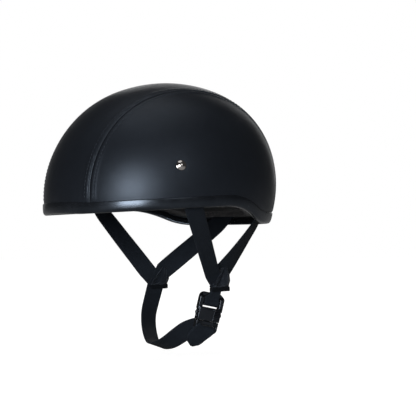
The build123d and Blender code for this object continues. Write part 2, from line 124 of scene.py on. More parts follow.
def roundedOutline(width, thickness, flats=10, turns=3):
    half, edge = width / 2 - thickness / 2, thickness / 2
    top = [(-half + 2 * half * i / flats, edge) for i in range(flats + 1)]
    angles = [math.pi * i / (turns + 1) for i in range(1, turns + 1)]
    right = [(half + edge * math.sin(a), edge * math.cos(a)) for a in angles]
    bottom = [(-a, -b) for a, b in top]
    left = [(-a, -b) for a, b in right]
    return top + right + bottom + left


# Powers under 1 square the oval off
def softOval(count, halfWide, halfHigh, widePower, highPower):
    points = []
    for k in range(count):
        c, s = math.cos(2 * math.pi * k / count), math.sin(2 * math.pi * k / count)
        points.append((math.copysign(abs(c) ** widePower, c) * halfWide,
                       math.copysign(abs(s) ** highPower, s) * halfHigh))
    return points


def addCopy(whole, part):
    mesh = bpy.data.meshes.new("part")
    part.to_mesh(mesh)
    part.free()
    whole.from_mesh(mesh)
    bpy.data.meshes.remove(mesh)


# A smooth route that leaves and enters along its first and last runs, with a facing at every point
def smoothRoute(points, facings, step):
    stations = []
    last = len(points) - 2

    def around(row, i):
        return ((row[i - 1] + row[i]) / 2 if i > 1 else row[0], row[i],
                (row[i] + row[i + 1]) / 2 if i < last else row[-1])

    def curve(row, t):
        return row[0] * (1 - t) ** 2 + row[1] * 2 * t * (1 - t) + row[2] * t * t

    for i in range(1, last + 1):
        ends, turns = around(points, i), around(facings, i)
        count = max(2, round(((ends[1] - ends[0]).length + (ends[2] - ends[1]).length) / step))
        for k in range(count + (i == last)):
            t = k / count
            point, facing = curve(ends, t), curve(turns, t)
            run = ((ends[1] - ends[0]) * (1 - t) + (ends[2] - ends[1]) * t).normalized()
            across = run.cross(facing).normalized()
            stations.append({"point": point, "across": across, "out": across.cross(run), "run": run})
    return stations


def makeFrame(origin, rise, facing):
    rise = Vector(rise).normalized()
    facing = Vector(facing)
    outward = (facing - rise * facing.dot(rise)).normalized()
    return {"origin": Vector(origin), "x": rise.cross(outward), "y": rise, "z": outward}


def placed(local, spot):
    x, y, z = spot
    return local["origin"] + local["x"] * x + local["y"] * y + local["z"] * z


# A way to face, with no part along the frame's own x
def turned(local, facing):
    return local["y"] * facing[1] + local["z"] * facing[2]


def placeAll(bm, local):
    for v in bm.verts:
        v.co = placed(local, v.co)
    bmesh.ops.recalc_face_normals(bm, faces=bm.faces)


def mirrorAll(bm):
    bmesh.ops.scale(bm, vec=(-1, 1, 1), verts=bm.verts)
    bmesh.ops.reverse_faces(bm, faces=bm.faces)


# The shape of the dome

domeShape = {"length": 266.6, "width": 227.6, "crownHeight": 145.7, "crownRadius": 161.8,
             "sideRadius": 117.0, "lean": 0.081}
# The rim line's corners (along, height), and how far each inner corner is bent round
rimShape = {"points": [(-193.3, 2.8), (-118.0, -3.2), (41.0, 6.8), (77.0, -11.0), (193.3, -11.0)],
            "bends": [2.2, 22.8, 12.2]}
tiltSearch = {"low": -40, "high": 60, "halvings": 26}
sideOffset = domeShape["length"] / 2 - domeShape["sideRadius"]
crownCentre = domeShape["crownHeight"] - domeShape["crownRadius"]
meetDrop = math.sqrt((domeShape["crownRadius"] - domeShape["sideRadius"]) ** 2 - sideOffset ** 2)
beltHeight = crownCentre + meetDrop
meetAngle = math.atan2(meetDrop, sideOffset)


def rimHeight(y):
    points, bends = rimShape["points"], rimShape["bends"]
    for i, (a, b) in enumerate(zip(points, points[1:])):
        if y <= b[0] or i == len(points) - 2:
            slope = (b[1] - a[1]) / (b[0] - a[0])
            height = a[1] + slope * (y - a[0])
            break
    for corner, bend in zip(range(1, len(points) - 1), bends):
        a, c, b = points[corner - 1], points[corner], points[corner + 1]
        ahead = y - c[0]
        if abs(ahead) < bend:
            before = (c[1] - a[1]) / (c[0] - a[0])
            after = (b[1] - c[1]) / (b[0] - c[0])
            height = c[1] + before * ahead + (after - before) * (ahead + bend) ** 2 / (4 * bend)
    return height


def narrowAt(depth):
    return (domeShape["width"] / 2 - depth) / (domeShape["length"] / 2 - depth)


# The dome's point at a heading round the helmet (0 is the brow) and a tilt of its face, at a depth
def domePoint(heading, tilt, depth):
    if tilt >= meetAngle:
        reach = (domeShape["crownRadius"] - depth) * math.cos(tilt)
        height = crownCentre + (domeShape["crownRadius"] - depth) * math.sin(tilt)
    else:
        reach = sideOffset + (domeShape["sideRadius"] - depth) * math.cos(tilt)
        height = beltHeight + (domeShape["sideRadius"] - depth) * math.sin(tilt)
    narrow = narrowAt(depth)
    along = domeShape["lean"] * height - reach * math.cos(heading)
    return Vector((narrow * reach * math.sin(heading), along, height))


def tiltAt(heading, above, depth):
    low, high = math.radians(tiltSearch["low"]), math.radians(tiltSearch["high"])
    for _ in range(tiltSearch["halvings"]):
        middle = (low + high) / 2
        spot = domePoint(heading, middle, depth)
        if spot.z > rimHeight(spot.y) + above:
            high = middle
        else:
            low = middle
    return middle


def domeNormal(heading, tilt):
    small = 0.002
    ahead = domePoint(heading + small, tilt, 0) - domePoint(heading - small, tilt, 0)
    rise = domePoint(heading, tilt + small, 0) - domePoint(heading, tilt - small, 0)
    return ahead.cross(rise).normalized()


# The dome seen from the crown: share 0 is the crown and 1 is the edge
def domeShare(heading, share, edgeTilt, depth):
    crownRun = domeShape["crownRadius"] * (math.pi / 2 - meetAngle)
    whole = crownRun + domeShape["sideRadius"] * (meetAngle - edgeTilt)
    run = share * whole
    if run < crownRun:
        return domePoint(heading, math.pi / 2 - run / domeShape["crownRadius"], depth)
    return domePoint(heading, meetAngle - (run - crownRun) / domeShape["sideRadius"], depth)


# Where the dome lies straight out from a point inside it, and how it faces there
def domeOver(x, y, z, depth):
    narrow = narrowAt(depth)
    ahead = domeShape["lean"] * z - y
    heading = math.atan2(x / narrow, ahead)
    reach = math.hypot(x / narrow, ahead)
    if z > beltHeight:
        tilt = math.atan2(z - crownCentre, max(0.001, reach))
        if tilt < meetAngle:
            tilt = math.atan2(z - beltHeight, reach - sideOffset)
    else:
        tilt = math.asin(max(-0.9, (z - beltHeight) / (domeShape["sideRadius"] - depth)))
    return heading, tilt


# A round cap over the dome that ends a height above the rim line, from a square grid with no pole
def domeCap(count, above, depthAt):
    edges = {}

    def place(i, j):
        x, y = 2 * i / count - 1, 2 * j / count - 1
        across, ahead = x * math.sqrt(1 - y * y / 2), y * math.sqrt(1 - x * x / 2)
        share = min(1, math.hypot(across, ahead))
        heading = math.atan2(across, -ahead)
        key = round(heading, 5)
        if key not in edges:
            edges[key] = tiltAt(heading, above, 0)
        spot = domeShare(heading, share, edges[key], 0)
        depth = depthAt(spot)
        return domeShare(heading, share, edges[key], depth) if depth else spot

    return shapedGrid(count, count, place)


def turnOutwards(bm):
    bmesh.ops.recalc_face_normals(bm, faces=bm.faces)
    if max(bm.faces, key=lambda f: f.calc_center_median().z).normal.z < 0:
        bmesh.ops.reverse_faces(bm, faces=bm.faces)
    return bm


# Helpers for materials

def newMaterial(name):
    material = bpy.data.materials.new(name)
    material.use_nodes = True
    tree = material.node_tree
    return material, tree, tree.nodes["Principled BSDF"]


def feed(tree, value, socket):
    if isinstance(value, bpy.types.NodeSocket):
        tree.links.new(value, socket)
    else:
        socket.default_value = value


def setValues(shader, **values):
    for label, value in values.items():
        shader.inputs[label.replace("_", " ")].default_value = value


def math2(tree, operation, a, b=0.0):
    node = tree.nodes.new("ShaderNodeMath")
    node.operation = operation
    feed(tree, a, node.inputs[0])
    feed(tree, b, node.inputs[1])
    return node.outputs[0]


def mixColour(tree, share, a, b):
    node = tree.nodes.new("ShaderNodeMix")
    node.data_type = "RGBA"
    feed(tree, share, node.inputs[0])
    feed(tree, a, node.inputs[6])
    feed(tree, b, node.inputs[7])
    return node.outputs[2]


def spread(tree, value, low, high, newLow, newHigh):
    node = tree.nodes.new("ShaderNodeMapRange")
    for socket, number in zip(node.inputs[:5], (value, low, high, newLow, newHigh)):
        feed(tree, number, socket)
    return node.outputs[0]


def noiseAt(tree, where, scale, detail=3.0, roughness=0.55):
    node = tree.nodes.new("ShaderNodeTexNoise")
    feed(tree, where, node.inputs["Vector"])
    feed(tree, scale, node.inputs["Scale"])
    node.inputs["Detail"].default_value = detail
    node.inputs["Roughness"].default_value = roughness
    return node.outputs["Fac"]


def cellsAt(tree, where, scale, feature="F1", randomness=1.0):
    node = tree.nodes.new("ShaderNodeTexVoronoi")
    node.feature = feature
    feed(tree, where, node.inputs["Vector"])
    feed(tree, scale, node.inputs["Scale"])
    node.inputs["Randomness"].default_value = randomness
    return node.outputs["Distance"]


def coordinates(tree, kind="Object"):
    return tree.nodes.new("ShaderNodeTexCoord").outputs[kind]


def paint(tree, shader, colour, rough):
    feed(tree, colour, shader.inputs["Base Color"])
    feed(tree, rough, shader.inputs["Roughness"])


def bumpFrom(tree, height, shader, strength, distance):
    node = tree.nodes.new("ShaderNodeBump")
    node.inputs["Strength"].default_value = strength
    node.inputs["Distance"].default_value = distance
    feed(tree, height, node.inputs["Height"])
    feed(tree, node.outputs["Normal"], shader.inputs["Normal"])


def newGroup(name, inputs, outputs):
    group = bpy.data.node_groups.new(name, "ShaderNodeTree")
    for label, kind, value in inputs:
        socket = group.interface.new_socket(label, in_out="INPUT", socket_type=kind)
        if value is not None:
            socket.default_value = value
    for label in outputs:
        group.interface.new_socket(label, in_out="OUTPUT", socket_type="NodeSocketFloat")
    given, found = group.nodes.new("NodeGroupInput"), group.nodes.new("NodeGroupOutput")
    return group, given.outputs, found.inputs


def useGroup(tree, group, **values):
    node = tree.nodes.new("ShaderNodeGroup")
    node.node_tree = group
    for label, value in values.items():
        feed(tree, value, node.inputs[label.replace("_", " ")])
    return node.outputs


# Pebbled grain with fine pores, for leather
grainGroup, gi, go = newGroup("pebbleGrain", [("Vector", "NodeSocketVector", None),
                                              ("Scale", "NodeSocketFloat", 700.0)], ["Height", "Pores"])
warp = noiseAt(grainGroup, gi["Vector"], math2(grainGroup, "MULTIPLY", gi["Scale"], 0.6), 2.0)
shift = grainGroup.nodes.new("ShaderNodeVectorMath")
shift.operation = "MULTIPLY_ADD"
feed(grainGroup, warp, shift.inputs[0])
shift.inputs[1].default_value = (0.0012, 0.0012, 0.0012)
feed(grainGroup, gi["Vector"], shift.inputs[2])
pebbles = cellsAt(grainGroup, shift.outputs[0], gi["Scale"], "DISTANCE_TO_EDGE")
rounded = math2(grainGroup, "POWER", math2(grainGroup, "MINIMUM", pebbles, 0.4), 0.5)
pores = noiseAt(grainGroup, gi["Vector"], math2(grainGroup, "MULTIPLY", gi["Scale"], 3.1), 2.0)
poreRise = math2(grainGroup, "MULTIPLY", pores, 0.25)
feed(grainGroup, math2(grainGroup, "ADD", rounded, poreRise), go["Height"])
feed(grainGroup, pores, go["Pores"])

# Plain weave on a UV map in millimetres
weaveGroup, gi, go = newGroup("strapWeave", [("UV", "NodeSocketVector", None),
                                             ("Yarn", "NodeSocketFloat", 1.0),
                                             ("Pick", "NodeSocketFloat", 0.9)], ["Height", "Fleck"])


def ridges(turns, power):
    wave = math2(weaveGroup, "SINE", math2(weaveGroup, "MULTIPLY", turns, math.pi))
    return math2(weaveGroup, "POWER", math2(weaveGroup, "ABSOLUTE", wave), power)


parts = weaveGroup.nodes.new("ShaderNodeSeparateXYZ")
feed(weaveGroup, gi["UV"], parts.inputs[0])
acrossTurn = math2(weaveGroup, "DIVIDE", parts.outputs[0], gi["Yarn"])
alongTurn = math2(weaveGroup, "DIVIDE", parts.outputs[1], gi["Pick"])
odd = math2(weaveGroup, "MODULO", math2(weaveGroup, "FLOOR", acrossTurn), 2.0)
slid = math2(weaveGroup, "ADD", alongTurn, math2(weaveGroup, "MULTIPLY", odd, 0.5))
knots = math2(weaveGroup, "MULTIPLY", ridges(slid, 0.6), ridges(acrossTurn, 0.5))
fibres = noiseAt(weaveGroup, gi["UV"], 2.3, 4.0, 0.7)
fibreRise = math2(weaveGroup, "MULTIPLY", fibres, 0.35)
feed(weaveGroup, math2(weaveGroup, "ADD", knots, fibreRise), go["Height"])
feed(weaveGroup, math2(weaveGroup, "MULTIPLY", knots, fibres), go["Fleck"])

# Slow unevenness, dust and handling marks
wearGroup, gi, go = newGroup("handling", [("Vector", "NodeSocketVector", None),
                                          ("Scale", "NodeSocketFloat", 30.0)], ["Patches", "Dust"])
slow = noiseAt(wearGroup, gi["Vector"], gi["Scale"], 4.0, 0.6)
specks = noiseAt(wearGroup, gi["Vector"], math2(wearGroup, "MULTIPLY", gi["Scale"], 40.0), 1.0)
feed(wearGroup, spread(wearGroup, slow, 0.3, 0.7, 0.0, 1.0), go["Patches"])
feed(wearGroup, spread(wearGroup, specks, 0.62, 0.8, 0.0, 1.0), go["Dust"])


# Materials

coolGloss = (0.66, 0.8, 1.0, 1)  # the tint of every black finish's highlights


# Each share is how much of a mask goes into a finish
def blendOf(tree, first, firstShare, second, secondShare):
    shares = [math2(tree, "MULTIPLY", *pair) for pair in ((first, firstShare), (second, secondShare))]
    return math2(tree, "ADD", *shares)


def makeLeather(name, dark, light, grainScale, rough):
    material, tree, shader = newMaterial(name)
    where = coordinates(tree)
    grain = useGroup(tree, grainGroup, Vector=where, Scale=grainScale)
    wear = useGroup(tree, wearGroup, Vector=where, Scale=24.0)
    tone = blendOf(tree, wear["Patches"], 0.6, grain["Pores"], 0.4)
    paint(tree, shader, mixColour(tree, tone, dark, light),
          spread(tree, tone, 0.0, 1.0, rough + 0.05, rough - 0.05))
    setValues(shader, Specular_IOR_Level=0.35, Specular_Tint=coolGloss)
    bumpFrom(tree, grain["Height"], shader, 0.5, 0.00012)
    return material


def makeWebbing(name, dark, light, yarn=1.0, pick=0.9, rough=0.62, gloss=0.12):
    material, tree, shader = newMaterial(name)
    weave = useGroup(tree, weaveGroup, UV=coordinates(tree, "UV"), Yarn=yarn, Pick=pick)
    fleck = spread(tree, weave["Fleck"], 0.15, 0.6, 0.0, 1.0)
    paint(tree, shader, mixColour(tree, fleck, dark, light),
          spread(tree, fleck, 0.0, 1.0, rough + 0.15, rough - 0.1))
    setValues(shader, Sheen_Weight=0.015, Sheen_Roughness=0.4, Specular_IOR_Level=gloss,
              Specular_Tint=coolGloss)
    bumpFrom(tree, weave["Height"], shader, 0.8, 0.00025)
    return material


def makePlastic(name, dark, light, rough, scale=60.0, coat=0.0, gloss=0.5):
    material, tree, shader = newMaterial(name)
    where = coordinates(tree)
    wear = useGroup(tree, wearGroup, Vector=where, Scale=scale)
    fine = noiseAt(tree, where, scale * 60, 2.0)
    marks = blendOf(tree, wear["Patches"], 0.7, wear["Dust"], 0.6)
    paint(tree, shader, mixColour(tree, wear["Patches"], dark, light),
          spread(tree, marks, 0.0, 1.0, rough - 0.04, rough + 0.08))
    setValues(shader, Coat_Weight=coat, Specular_IOR_Level=gloss, Specular_Tint=coolGloss)
    bumpFrom(tree, fine, shader, 0.15, 0.00005)
    return material


def makeMetal(name, tint, rough, scratch):
    material, tree, shader = newMaterial(name)
    where = coordinates(tree)
    wear = useGroup(tree, wearGroup, Vector=where, Scale=180.0)
    fine = noiseAt(tree, where, 2600.0, 3.0)
    darker = tuple(c * 0.8 for c in tint[:3]) + (1,)
    paint(tree, shader, mixColour(tree, wear["Patches"], tint, darker),
          spread(tree, fine, 0.3, 0.7, rough, rough + scratch))
    setValues(shader, Metallic=1)
    bumpFrom(tree, wear["Patches"], shader, 0.08, 0.0002)
    return material


def makeKnit(name, dark, light, cell, rough=0.8):
    material, tree, shader = newMaterial(name)
    where = coordinates(tree)
    holes = cellsAt(tree, where, 1 / cell, "F1", 0.25)
    fuzz = noiseAt(tree, where, 4200.0, 2.0)
    loop = spread(tree, holes, 0.15, 0.6, 0.0, 1.0)
    paint(tree, shader, mixColour(tree, math2(tree, "MULTIPLY", loop, fuzz), dark, light),
          spread(tree, fuzz, 0.3, 0.7, rough, rough + 0.15))
    setValues(shader, Sheen_Weight=0.2)
    bumpFrom(tree, math2(tree, "ADD", loop, math2(tree, "MULTIPLY", fuzz, 0.3)), shader, 0.7, 0.0003)
    return material


leather = makeLeather("blackLeather", (0.004, 0.0048, 0.0065, 1), (0.007, 0.0084, 0.0115, 1), 900.0, 0.395)
weltLeather = makeLeather("weltLeather", (0.008, 0.0095, 0.012, 1), (0.018, 0.021, 0.026, 1), 1200.0, 0.34)
rubber = makePlastic("beadRubber", (0.003, 0.0035, 0.0045, 1), (0.007, 0.008, 0.01, 1), 0.25, 40.0,
                     gloss=0.55)
shellPlastic = makePlastic("shellPlastic", (0.01, 0.01, 0.01, 1), (0.018, 0.018, 0.019, 1), 0.45, 30.0)
glossPlastic = makePlastic("glossPlastic", (0.0015, 0.0018, 0.0024, 1), (0.004, 0.0045, 0.006, 1), 0.2,
                           120.0, coat=0.3, gloss=0.45)
webbing = makeWebbing("blackWebbing", (0.001, 0.0012, 0.0018, 1), (0.022, 0.028, 0.038, 1))
thread = makeWebbing("blackThread", (0.012, 0.014, 0.018, 1), (0.05, 0.058, 0.07, 1), 0.3, 0.4, 0.45, 0.5)
satin = makeWebbing("satinTape", (0.002, 0.0024, 0.0034, 1), (0.008, 0.0095, 0.013, 1), 0.28, 0.25, 0.27,
                    0.5)
hemTape = makeWebbing("hemTape", (0.0012, 0.0015, 0.002, 1), (0.006, 0.0072, 0.0095, 1), 0.5, 0.8, 0.6, 0.1)
chrome = makeMetal("rivetChrome", (0.6, 0.57, 0.55, 1), 0.05, 0.05)
washerSteel = makeMetal("washerSteel", (0.5, 0.5, 0.5, 1), 0.3, 0.2)
liningCloth = makeKnit("liningKnit", (0.008, 0.008, 0.009, 1), (0.035, 0.036, 0.04, 1), 0.0011)
padCloth = makeKnit("padMesh", (0.006, 0.006, 0.007, 1), (0.045, 0.046, 0.05, 1), 0.0021)
print("materials made")

# Beadlike foam for the liner
foam, tree, shader = newMaterial("foamBeads")
beads = cellsAt(tree, coordinates(tree), 320.0, "DISTANCE_TO_EDGE")
beadShare = spread(tree, beads, 0.0, 0.12, 0.0, 1.0)
beadTone = mixColour(tree, beadShare, (0.02, 0.02, 0.021, 1), (0.055, 0.055, 0.058, 1))
feed(tree, beadTone, shader.inputs["Base Color"])
setValues(shader, Roughness=0.8)
bumpFrom(tree, math2(tree, "MINIMUM", beads, 0.2), shader, 0.6, 0.0006)


# Leather skin

skin = {"cells": 190, "thickness": 1.2, "above": 1.75, "gap": 0.9, "seamAt": 54.0, "bandHalf": 6.0,
        "bandRise": 0.5, "bandEdge": 0.9, "stitchAt": 4.7, "stitchDip": 0.35, "stitchWidth": 0.7,
        "grooveDip": 0.6, "grooveWidth": 0.8, "beadTop": 12.6, "rivetDip": 0.35, "rivetReach": 7.5,
        "slowRise": 0.12, "slowScale": 0.035, "cuts": (0.9, 2.4, 4.1, 5.4, 6.6)}
rivetSpots = [(106.84, -36.0, 47.0), (-106.84, -36.0, 47.0), (35.0, 129.0, 27.0), (-35.0, 129.0, 27.0)]


# How far the leather stands out from the plain dome: seam allowances under it, drawn in by thread
def leatherRelief(spot):
    away = abs(abs(spot.x) - skin["seamAt"])
    clear = blendStep(skin["beadTop"], skin["beadTop"] + 3, spot.z - rimHeight(spot.y))
    half, edge = skin["bandHalf"], skin["bandEdge"]
    band = 1 - blendStep(half - edge, half + edge, away)
    stitch = math.exp(-((away - skin["stitchAt"]) / skin["stitchWidth"]) ** 2)
    groove = math.exp(-((away - skin["gap"]) / skin["grooveWidth"]) ** 2)
    relief = skin["bandRise"] * band - skin["stitchDip"] * stitch - skin["grooveDip"] * groove
    slow = noise.noise(spot * skin["slowScale"]) * skin["slowRise"]
    pressed = sum(math.exp(-((spot - Vector(at)).length / skin["rivetReach"]) ** 4) for at in rivetSpots)
    return (relief + slow) * clear - pressed * skin["rivetDip"]


def skinPanel(lowest, highest):
    bm = domeCap(skin["cells"], skin["above"], lambda spot: -leatherRelief(spot))
    steps = [-step for step in reversed(skin["cuts"])] + list(skin["cuts"])
    for at in [side * (skin["seamAt"] + step) for side in (-1, 1) for step in steps]:
        if lowest - 0.1 <= at <= highest + 0.1:
            bmesh.ops.bisect_plane(bm, geom=bm.verts[:] + bm.edges[:] + bm.faces[:], dist=0.02,
                                   plane_co=(at, 0, 0), plane_no=(1, 0, 0))
    outside = [v for v in bm.verts if not lowest - 0.03 <= v.co.x <= highest + 0.03]
    bmesh.ops.delete(bm, geom=outside, context="VERTS")
    return turnOutwards(bm)


def giveThickness(piece, thickness):
    wall = piece.modifiers.new("wall", "SOLIDIFY")
    wall.thickness = thickness * metre
    wall.offset = -1


panelEdge = skin["seamAt"] - skin["gap"]
centreSkin = finishPiece(skinPanel(-panelEdge, panelEdge), "centreLeather", leather,
                         stands=["centre_leather"])
giveThickness(centreSkin, skin["thickness"])
for side, word in sides:
    edges = sorted((side * (skin["seamAt"] + skin["gap"]), side * 200))
    panel = finishPiece(skinPanel(*edges), "sideLeather." + word, leather,
                        stands=["side_leather_" + word])
    giveThickness(panel, skin["thickness"])
print("leather skin done")


# Seams: a welt between the panels and a row of stitches on each side

arcSearch = {"centre": (8.0, 20.0), "from": -25, "turn": 230, "rays": 720, "near": 20.0, "far": 190.0,
             "halvings": 22}


# The dome's arc in the plane at x, from the brow's rim to the nape's, by equal steps of length
def seamArc(x, step, above):
    centre = Vector((x, *arcSearch["centre"]))
    rough = []
    for k in range(arcSearch["rays"] + 1):
        turn = math.radians(arcSearch["from"] + arcSearch["turn"] * k / arcSearch["rays"])
        low, high = arcSearch["near"], arcSearch["far"]
        direction = Vector((0, -math.cos(turn), math.sin(turn)))
        for _ in range(arcSearch["halvings"]):
            far = (low + high) / 2
            spot = centre + direction * far
            lean = Vector((0, domeShape["lean"] * spot.z, 0))
            surface = domePoint(*domeOver(*spot, 0), 0)
            if (surface - lean).xy.length > (spot - lean).xy.length and spot.z < domeShape["crownHeight"]:
                low = far
            else:
                high = far
        if spot.z > rimHeight(spot.y) + above:
            rough.append(spot)
    runs = runLengths(rough)
    count = round(runs[-1] / step)
    spots, k = [], 0
    for n in range(count + 1):
        target = runs[-1] * n / count
        while k < len(runs) - 2 and runs[k + 1] < target:
            k += 1
        share = (target - runs[k]) / (runs[k + 1] - runs[k])
        spots.append(rough[k].lerp(rough[k + 1], min(1, share)))
    return spots


def outAt(spot):
    return domeNormal(*domeOver(*spot, 0))


def seamStations(x, step, above):
    spots = seamArc(x, step, above)
    stations = []
    for n, spot in enumerate(spots):
        run = (spots[min(n + 1, len(spots) - 1)] - spots[max(n - 1, 0)]).normalized()
        across = run.cross(outAt(spot)).normalized()
        stations.append({"point": spot, "across": across, "out": across.cross(run), "run": run})
    return stations


# Under the beading the welt sinks into the leather, over this range of heights
welt = {"half": 0.95, "rise": 0.85, "foot": -1.15, "footShare": 0.8, "step": 1.6, "sinks": (12.0, 15.0),
        "sink": 0.95}
stitching = {"pitch": 4.1, "length": 2.8, "width": 0.85, "rise": 0.22, "above": 13.5, "slant": 0.05}


def makeWelt(side):
    stations = seamStations(side * skin["seamAt"], welt["step"], skin["above"])
    arc = [math.pi * k / 8 for k in range(9)]
    outline = [(welt["half"] * math.cos(a), welt["rise"] * math.sin(a)) for a in arc]
    foot = welt["half"] * welt["footShare"]
    outline = outline + [(-foot, welt["foot"]), (foot, welt["foot"])]
    for s in stations:
        clear = blendStep(*welt["sinks"], s["point"].z - rimHeight(s["point"].y))
        s["point"] = s["point"] - s["out"] * (1 - clear) * welt["sink"]
        s["wide"] = 1 + 0.06 * noise.noise(s["point"] * 0.12)
    return tubeAlong(stations, outline)


def makeStitches(side):
    bm = bmesh.new()
    lift = stitching["rise"] + skin["bandRise"] - skin["stitchDip"]
    size = Matrix.Diagonal((stitching["width"], stitching["width"], stitching["length"], 1))
    for row in (-1, 1):
        at = side * skin["seamAt"] + row * skin["stitchAt"]
        for s in seamStations(at, stitching["pitch"], stitching["above"])[1:-1]:
            made = bmesh.ops.create_uvsphere(bm, u_segments=6, v_segments=4, radius=0.5)
            run = (s["run"] + s["across"] * stitching["slant"]).normalized()
            turn = Matrix((s["across"], s["out"], run)).transposed().to_4x4()
            place = Matrix.Translation(s["point"] + s["out"] * lift)
            bmesh.ops.transform(bm, matrix=place @ turn @ size, verts=made["verts"])
    bmesh.ops.recalc_face_normals(bm, faces=bm.faces)
    return bm


for side, word in sides:
    finishPiece(makeWelt(side), "seamWelt." + word, weltLeather, stands=["seam_welt_" + word])
    finishPiece(makeStitches(side), "seamStitches." + word, thread)
print("seams done")


# Rubber beading round the rim

bead = {"outer": -1.45, "seat": -0.15, "height": 11.7, "base": 1.6, "innerSeat": 4.55, "inner": 5.85,
        "innerHeight": 8.0, "stations": 300, "uvStep": 2.6}


def beadOutline():
    # (depth, height) round the section, from inside the lip of the outer leg
    outer, seat, top, base = bead["outer"], bead["seat"], bead["height"], bead["base"]
    inner, innerSeat, innerTop = bead["inner"], bead["innerSeat"], bead["innerHeight"]
    points = [(seat, top - 2.0), (seat - 0.55, top - 1.5), (seat - 0.62, top - 0.2), (seat - 0.85, top),
              (outer + 0.3, top - 0.12)]
    # The outer face bulges, so that its upper half catches the light
    points += [(outer + 0.12 - 0.16 * k + 0.013 * k * k, top - 0.7 - 1.15 * k) for k in range(8)]
    points += [(outer - 0.15, 1.9), (outer + 0.2, 1.1), (outer + 0.8, 0.4), (outer + 1.7, 0.0),
               (outer + 2.8, -0.1), (inner - 1.8, -0.1), (inner - 0.7, 0.1), (inner - 0.15, 0.8),
               (inner, 2.0), (inner, 5.0), (inner - 0.1, innerTop - 0.3), (inner - 0.6, innerTop),
               (innerSeat + 0.2, innerTop - 0.1), (innerSeat, innerTop - 0.5), (innerSeat, base + 0.3),
               (innerSeat - 0.3, base), (seat + 0.3, base), (seat, base + 0.3)]
    return points


def makeBead():
    outline = beadOutline()
    count, rows = len(outline), bead["stations"]
    around = runLengths(outline + outline[:1])
    tilts = {}

    def place(i, j):
        depth, above = outline[i % count]
        heading = 2 * math.pi * (j % rows) / rows
        key = (i % count, j % rows)
        if key not in tilts:
            tilts[key] = tiltAt(heading, above, depth)
        return domePoint(heading, tilts[key], depth)

    return closeUp(shapedGrid(count, rows, place, lambda i, j: (around[i], j * bead["uvStep"])))


finishPiece(makeBead(), "rimBead", rubber, stands=["rim_beading"])
print("bead done")


# Rivets

rivetShape = {"radius": 5.3, "rise": 2.4, "rim": 0.35, "shank": 2.0, "foot": 3.4, "footAt": -11.1,
              "footRise": 1.2, "lift": 0.15}


def makeRivet(at):
    shape = rivetShape
    r, rise = shape["radius"], shape["rise"]
    ball = (r * r + rise * rise) / (2 * rise)
    profile = [(0.0, rise)]
    for k in range(1, 9):
        reach = (r - shape["rim"]) * k / 8
        profile.append((reach, rise - ball + math.sqrt(ball * ball - reach * reach) + 0.05))
    shank, foot, footAt = shape["shank"], shape["foot"], shape["footAt"]
    lowest = footAt - shape["footRise"]
    profile += [(r, 0.35), (r, 0.12), (r - 0.25, 0.0), (shank, 0.0), (shank, footAt), (foot, footAt),
                (foot - 0.3, lowest), (0.0, lowest)]
    bm = bmesh.new()
    verts = [bm.verts.new((reach, 0, height)) for reach, height in profile]
    edges = [bm.edges.new(pair) for pair in zip(verts, verts[1:])]
    bmesh.ops.spin(bm, geom=verts + edges, cent=(0, 0, 0), axis=(0, 0, 1), angle=2 * math.pi, steps=40,
                   use_merge=True)
    bmesh.ops.remove_doubles(bm, verts=bm.verts, dist=0.001)
    bmesh.ops.recalc_face_normals(bm, faces=bm.faces)
    heading, tilt = domeOver(*at, 0)
    out = domeNormal(heading, tilt)
    turn = out.to_track_quat("Z", "Y").to_matrix().to_4x4()
    seat = Matrix.Translation(domePoint(heading, tilt, 0) + out * shape["lift"])
    bmesh.ops.transform(bm, matrix=seat @ turn, verts=bm.verts)
    return bm


for name, spots in (("front", rivetSpots[:2]), ("rear", rivetSpots[2:])):
    bm = bmesh.new()
    for at in spots:
        addCopy(bm, makeRivet(at))
    finishPiece(bm, name + "Rivets", chrome, stands=[name + "_rivets"], crease=40)
print("rivets done")


# Webbing straps

strap = {"width": 21.0, "thickness": 1.6, "seatDepth": 6.3, "exitDepth": 7.75, "step": 2.6, "layer": 1.1,
         "tab": 13.0, "reach": 6.2, "end": 6.5, "waves": 0.8, "selvedge": 0.14}
fold = makeFrame((68.0, 34.4, -86.0), (-0.07, -0.04, 1.0), (1.0, 0.1, -0.1))
buckle = makeFrame((68.3, 26.8, -88.6), (0.13, 0.18, 0.975), (1.0, -0.08, 0.0))
meetPoint = Vector((67.0, 33.8, -77.0))
meetShift = {"front": -5.7, "rear": 1.2}
# Where each strap's edge starts to be gathered in: height over the hem, and how fast
gathers = {"front": (21.4, 0.17), "rear": (20.6, 0.75)}


def reachAt(z, depth):
    return sideOffset + math.sqrt((domeShape["sideRadius"] - depth) ** 2 - (z - beltHeight) ** 2)


def sidePoint(y, z, depth):
    along = y - domeShape["lean"] * z
    return Vector((narrowAt(depth) * math.sqrt(reachAt(z, depth) ** 2 - along ** 2), y, z))


def backPoint(x, z, depth):
    away = math.sqrt(reachAt(z, depth) ** 2 - (x / narrowAt(depth)) ** 2)
    return Vector((x, domeShape["lean"] * z + away, z))


def fallPast(last, before):
    run = last - before
    run = (run - fold["z"] * run.dot(fold["z"])).normalized()
    height = (last - fold["origin"]).dot(fold["y"])
    return last + run * (height - strap["end"]) / -run.dot(fold["y"])


# Both routes start at a rivet, leave the shell under the beading and end in the fold
frontStrap = {"seat": (-36.0, 47.0), "leave": (-18.0, 3.0)}
rearStrap = {"top": (33.4, 40.0), "leave": (36.6, 14.0),
             "points": ((39.5, 106.9, -7.6), (46.1, 88.5, -23.6), (52.7, 71.8, -38.6), (59.2, 55.0, -53.6)),
             "facings": ((0.57, 0.8, -0.2), (0.75, 0.62, -0.3), (0.85, 0.48, -0.25), (0.95, 0.25, -0.2))}


def meetAt(kind, layer):
    return meetPoint + fold["z"] * layer + fold["y"] * strap["reach"] + fold["x"] * meetShift[kind]


